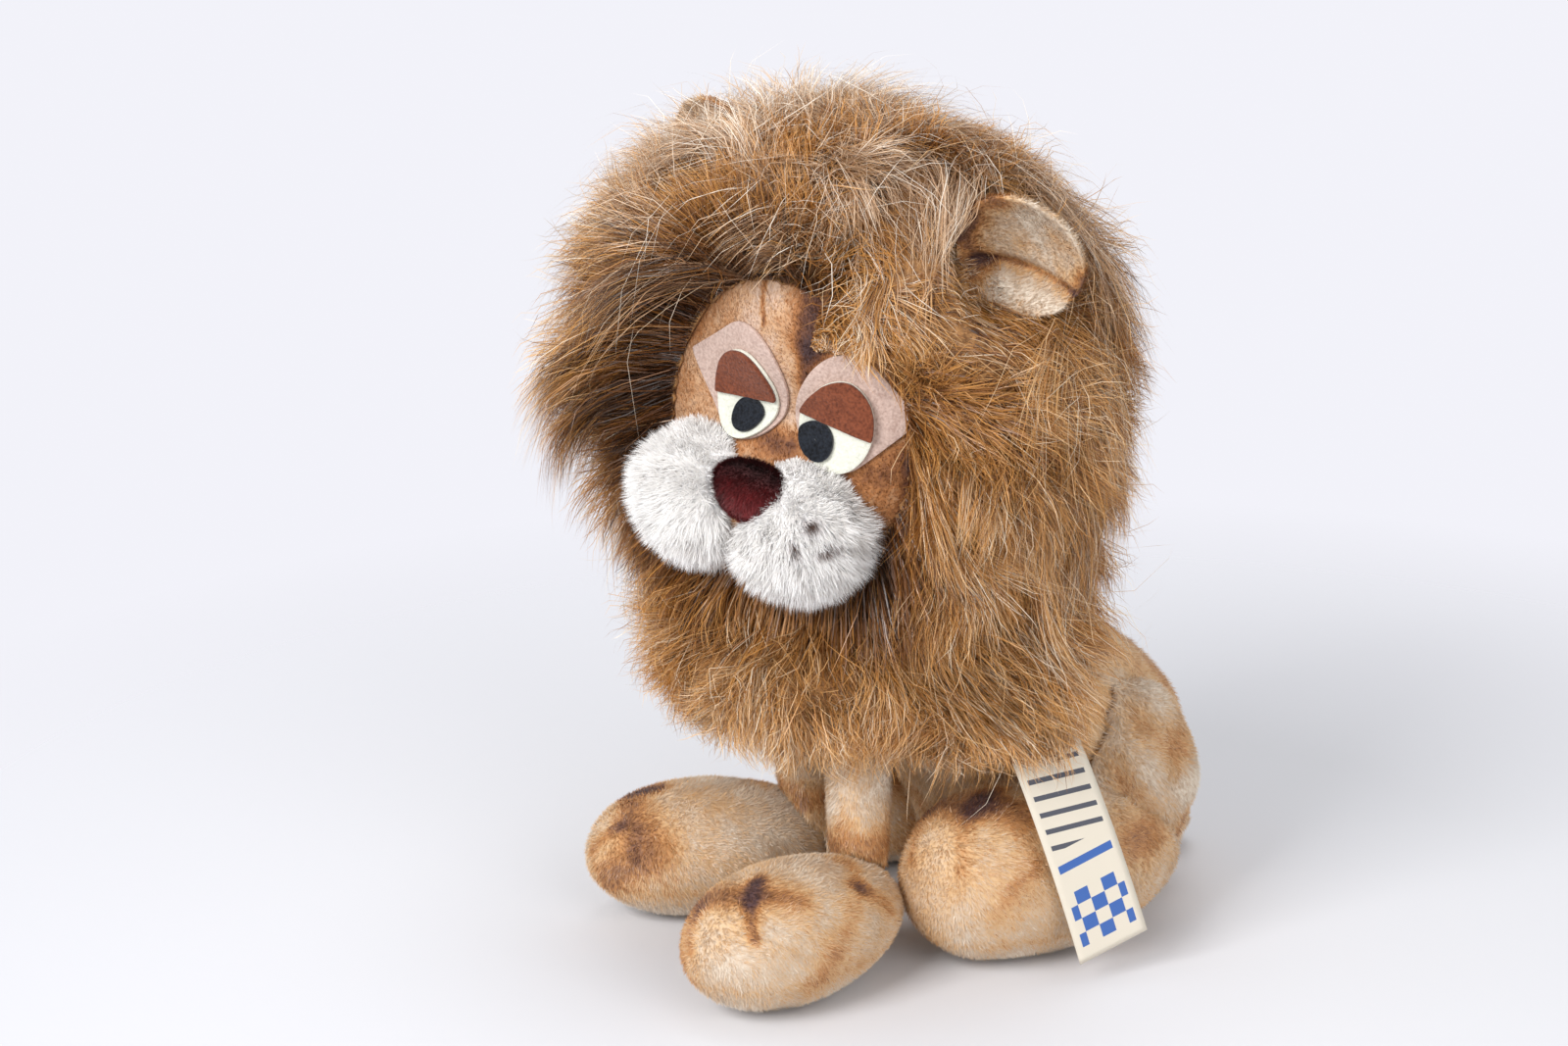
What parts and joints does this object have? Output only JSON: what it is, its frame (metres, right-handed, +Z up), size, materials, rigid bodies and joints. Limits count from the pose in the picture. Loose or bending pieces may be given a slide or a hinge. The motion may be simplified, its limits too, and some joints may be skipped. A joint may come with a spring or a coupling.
{
  "type": "plush lion",
  "caption": "Seated stuffed lion with a large shaggy mane, drooping felt eyes, white cheeks, big round paws and a ribbon tag.",
  "frame": {"origin": "middle of the flat seat that the stuffed body rests on, at floor level", "axes": "+Z up, the body faces -Y, the lion's left side is +X"},
  "size_m": [0.1797, 0.2324, 0.282],
  "materials": {
    "short_plush": "short shiny pile",
    "mane_fur": "long pile fur",
    "face_plush": "short pile",
    "ear_plush": "short pile",
    "white_fur": "white fluff",
    "nose_velvet": "velvet",
    "patch_felt": "felt",
    "white_felt": "felt",
    "brown_felt": "felt",
    "black_felt": "felt",
    "ribbon": "woven ribbon"
  },
  "bodies": {
    "torso": {"torso": "short_plush", "chest_ruff": "mane_fur", "haunch_left": "short_plush", "haunch_right": "short_plush", "hind_paw_left": "short_plush", "hind_paw_right": "short_plush"},
    "head": {"head": "face_plush", "mane": "mane_fur", "cheek_left": "white_fur", "cheek_right": "white_fur", "nose": "nose_velvet", "eye_patch_left": "patch_felt", "eye_patch_right": "patch_felt", "eye_white_left": "white_felt", "eye_white_right": "white_felt", "eyelid_left": "brown_felt", "eyelid_right": "brown_felt", "pupil_left": "black_felt", "pupil_right": "black_felt"},
    "ear_left": {"ear_left": "ear_plush"},
    "ear_right": {"ear_right": "ear_plush"},
    "foreleg_left": {"foreleg_left": "short_plush", "forepaw_left": "short_plush"},
    "foreleg_right": {"foreleg_right": "short_plush", "forepaw_right": "short_plush"},
    "tail": {"tail": "short_plush", "tail_tuft": "mane_fur"},
    "tag": {"tag": "ribbon"}
  },
  "joints": [
    {"name": "head_turn", "type": "hinge", "parent": "torso", "child": "head", "pos_m": [0, -0.082, 0.118], "axis": [0, 0, 1], "range_deg": [-30, 10], "stiffness_Nm_per_rad": 0.05},
    {"name": "ear_left_flap", "type": "hinge", "parent": "head", "child": "ear_left", "pos_m": [0.04634, -0.06497, 0.224], "axis": [-0.3407, -0.63, 0.6979], "range_deg": [-12, 12], "stiffness_Nm_per_rad": 0.005},
    {"name": "ear_right_flap", "type": "hinge", "parent": "head", "child": "ear_right", "pos_m": [-0.0276, -0.10104, 0.2385], "axis": [-0.8892, 0.0301, -0.4566], "range_deg": [-12, 12], "stiffness_Nm_per_rad": 0.005},
    {"name": "foreleg_left_swing", "type": "hinge", "parent": "torso", "child": "foreleg_left", "pos_m": [0.027, -0.093, 0.075], "axis": [-1, 0, 0], "range_deg": [0, 20], "stiffness_Nm_per_rad": 0.1},
    {"name": "foreleg_right_swing", "type": "hinge", "parent": "torso", "child": "foreleg_right", "pos_m": [-0.027, -0.081, 0.075], "axis": [-1, 0, 0], "range_deg": [0, 20], "stiffness_Nm_per_rad": 0.1},
    {"name": "tail_swing", "type": "hinge", "parent": "torso", "child": "tail", "pos_m": [-0.002, 0.045, 0.017], "axis": [0, 0, -1], "range_deg": [-5, 30], "stiffness_Nm_per_rad": 0.01},
    {"name": "tag_swing", "type": "hinge", "parent": "torso", "child": "tag", "pos_m": [0.0604, -0.0537, 0.0976], "axis": [-0.0202, -0.959, -0.2827], "range_deg": [0, 30], "stiffness_Nm_per_rad": 0.0005}
  ]
}
